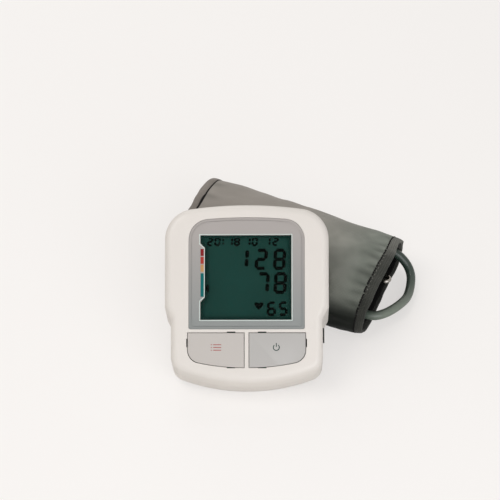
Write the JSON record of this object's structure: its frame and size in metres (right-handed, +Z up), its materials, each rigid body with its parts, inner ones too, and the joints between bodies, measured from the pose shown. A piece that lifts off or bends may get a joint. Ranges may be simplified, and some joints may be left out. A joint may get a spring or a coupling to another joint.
{
  "type": "upper-arm blood pressure monitor",
  "caption": "Table-top blood pressure monitor with a sloped display face and push buttons, leaning back on its rolled fabric arm cuff with air hose.",
  "frame": {"origin": "on the table at the middle of the assembly's footprint", "axes": "+Z up, +X to the user's right, the monitor's face looks towards -Y and up"},
  "size_m": [0.1948, 0.2144, 0.1085],
  "materials": {
    "case_white": "warm white moulded ABS, fine satin",
    "panel_grey": "grey printed panel",
    "lens_clear": "clear acrylic window",
    "lcd_teal": "dark teal liquid crystal glass",
    "key_grey": "grey moulded caps",
    "black_plastic": "black moulded ABS",
    "grey_plastic": "grey moulded plastic",
    "board_green": "solder mask on glass laminate",
    "steel": "plated steel",
    "chrome": "bright nickel plate",
    "copper": "motor core and wire",
    "cell_wrap": "plain battery sleeve",
    "rubber_dark": "moulded rubber",
    "silicone": "silicone tube",
    "hose_green": "grey-green PVC hose",
    "cuff_fabric": "grey woven nylon, quilted to its lining",
    "lining_fabric": "black brushed lining",
    "bladder_film": "welded film"
  },
  "bodies": {
    "root": {"top_cover": "case_white", "bottom_cover": "case_white", "case_screws": "steel", "rubber_feet": "rubber_dark", "batteries": "cell_wrap", "battery_contacts": "steel", "pump_motor": "steel", "pump_head": "black_plastic", "exhaust_valve": "black_plastic", "air_manifold": "grey_plastic", "air_socket": "black_plastic", "adapter_jack": "black_plastic", "inner_tubes": "silicone", "face_panel": "panel_grey", "display_lens": "lens_clear", "lcd_glass": "lcd_teal", "lcd_frame": "grey_plastic", "zebra_strip": "silicone", "tact_switches": "black_plastic", "main_board": "board_green", "board_screws": "steel", "pressure_sensor": "black_plastic", "buzzer": "black_plastic", "cuff_hose": "hose_green", "hose_grommet": "rubber_dark", "hose_plug": "grey_plastic", "cuff_outer_wrap": "cuff_fabric", "cuff_bladder": "bladder_film", "cuff_inner_wrap": "lining_fabric", "d_ring": "chrome"},
    "memory_key": {"memory_button": "key_grey"},
    "start_key": {"start_button": "key_grey"},
    "door": {"battery_door": "case_white"},
    "rotor": {"motor_rotor": "copper"},
    "plunger": {"valve_plunger": "steel"}
  },
  "joints": [
    {"name": "memory_press", "type": "slide", "parent": "root", "child": "memory_key", "axis": [0, 0.6691, -0.7431], "range_m": [0, 0.0009], "stiffness_N_per_m": 900, "springref_m": -0.0004},
    {"name": "start_press", "type": "slide", "parent": "root", "child": "start_key", "axis": [0, 0.6691, -0.7431], "range_m": [0, 0.0009], "stiffness_N_per_m": 900, "springref_m": -0.0004},
    {"name": "door_slide", "type": "slide", "parent": "root", "child": "door", "axis": [0, -0.891, -0.454], "range_m": [0, 0.006]},
    {"name": "rotor_spin", "type": "hinge", "parent": "root", "child": "rotor", "pos_m": [-0.01874, -0.02245, 0.05766], "axis": [1, 0, 0], "continuous": true},
    {"name": "plunger_press", "type": "slide", "parent": "root", "child": "plunger", "axis": [0, 0.454, -0.891], "range_m": [0, 0.001], "stiffness_N_per_m": 300, "springref_m": -0.0005}
  ]
}
